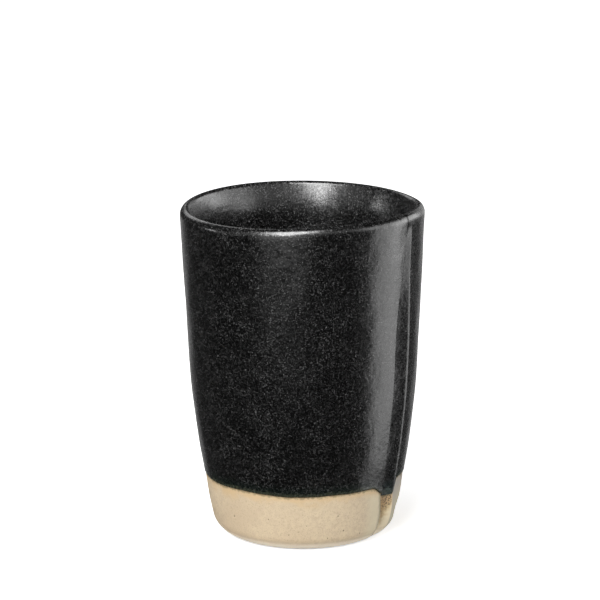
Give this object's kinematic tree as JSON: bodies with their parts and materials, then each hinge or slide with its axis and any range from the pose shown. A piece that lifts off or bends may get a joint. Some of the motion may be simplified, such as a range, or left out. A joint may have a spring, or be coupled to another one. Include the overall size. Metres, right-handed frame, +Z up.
{
  "type": "cappuccino mug",
  "caption": "Handleless stoneware mug with a lapped upright seam, dark satin glaze and a bare clay foot band.",
  "frame": {"origin": "centre of the foot ring, on the plane that the mug stands on", "axes": "+Z up along the mug's axis, +X out through the middle of the lapped seam"},
  "size_m": [0.0764, 0.0764, 0.105],
  "materials": {
    "bare_stoneware": "unglazed fired clay, matt, fine sandy grain with sparse brown specks",
    "black_glaze": "satin near-black glaze with fine grey metallic speckle"
  },
  "bodies": {
    "root": {"stoneware_wall": "bare_stoneware", "stoneware_floor": "bare_stoneware", "outer_glaze": "black_glaze", "inner_glaze": "black_glaze"}
  },
  "joints": []
}
